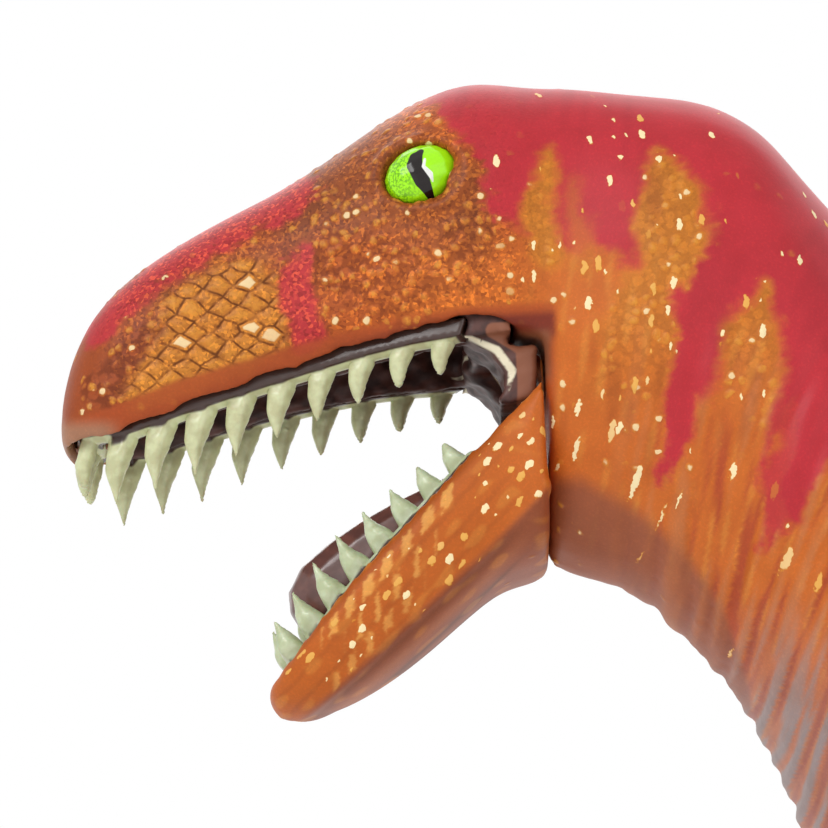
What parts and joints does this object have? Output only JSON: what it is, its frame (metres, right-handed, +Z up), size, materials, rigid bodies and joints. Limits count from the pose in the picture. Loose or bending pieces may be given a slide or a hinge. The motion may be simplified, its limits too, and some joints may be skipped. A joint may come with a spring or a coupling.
{
  "type": "toy dinosaur figure",
  "caption": "Standing toy dinosaur figure with a wide open toothed mouth, a hinged lower jaw, a swivelling neck and tail, and swinging legs and arms.",
  "frame": {"origin": "on the floor under the middle of the figure's length, on its centre plane", "axes": "+Z up, the nose points along -X and the tail along +X, the figure's left side faces -Y"},
  "size_m": [0.3956, 0.1128, 0.218],
  "materials": {
    "body_skin": "moulded scales and folds, painted orange and red, satin gloss",
    "head_skin": "fine moulded scales, crimson crest over burnt orange, satin gloss",
    "jaw_skin": "moulded scales, burnt orange with pale flecks, satin gloss",
    "limb_skin": "moulded scales, orange-brown with dark claws, satin gloss",
    "tail_skin": "moulded scales, banded orange and red, satin gloss",
    "tooth_plastic": "cream teeth, satin",
    "mouth_lining": "dark brown ridged gum and palate",
    "tongue_plastic": "maroon-brown, slightly wet gloss",
    "eye_plastic": "bright green, slit pupil, high gloss",
    "peg_plastic": "grey nylon",
    "steel": "plain steel"
  },
  "bodies": {
    "torso": {"torso_left_shell": "body_skin", "torso_right_shell": "body_skin", "torso_screw_1": "steel", "torso_screw_2": "steel", "torso_screw_3": "steel", "torso_screw_4": "steel", "torso_screw_5": "steel", "torso_screw_6": "steel"},
    "head": {"head_left_shell": "head_skin", "head_right_shell": "head_skin", "palate": "mouth_lining", "upper_teeth": "tooth_plastic", "left_eye": "eye_plastic", "right_eye": "eye_plastic", "jaw_pin": "steel", "neck_peg": "peg_plastic"},
    "jaw": {"lower_jaw": "jaw_skin", "mouth_floor": "mouth_lining", "tongue": "tongue_plastic", "lower_teeth": "tooth_plastic"},
    "left_leg": {"left_leg": "limb_skin", "left_hip_peg": "peg_plastic"},
    "right_leg": {"right_leg": "limb_skin", "right_hip_peg": "peg_plastic"},
    "left_arm": {"left_arm": "limb_skin", "left_shoulder_peg": "peg_plastic"},
    "right_arm": {"right_arm": "limb_skin", "right_shoulder_peg": "peg_plastic"},
    "tail": {"tail": "tail_skin", "tail_peg": "peg_plastic"}
  },
  "joints": [
    {"name": "neck_swivel", "type": "hinge", "parent": "torso", "child": "head", "pos_m": [-0.0919, 0, 0.13971], "axis": [-0.6428, 0, 0.766], "range_deg": [-35, 35]},
    {"name": "jaw_hinge", "type": "hinge", "parent": "head", "child": "jaw", "pos_m": [-0.1388, 0, 0.18661], "axis": [0, 1, 0], "range_deg": [0, 24]},
    {"name": "left_hip", "type": "hinge", "parent": "torso", "child": "left_leg", "pos_m": [-0.004, 0, 0.111], "axis": [0, 1, 0], "range_deg": [-30, 15]},
    {"name": "right_hip", "type": "hinge", "parent": "torso", "child": "right_leg", "pos_m": [-0.004, 0, 0.111], "axis": [0, 1, 0], "range_deg": [-30, 15]},
    {"name": "left_shoulder", "type": "hinge", "parent": "torso", "child": "left_arm", "pos_m": [-0.08323, 0, 0.11668], "axis": [0, 1, 0], "range_deg": [-30, 60]},
    {"name": "right_shoulder", "type": "hinge", "parent": "torso", "child": "right_arm", "pos_m": [-0.08323, 0, 0.11668], "axis": [0, 1, 0], "range_deg": [-30, 60]},
    {"name": "tail_swivel", "type": "hinge", "parent": "torso", "child": "tail", "pos_m": [0.02937, 0, 0.11443], "axis": [1, 0, 0], "range_deg": [-30, 30]}
  ]
}
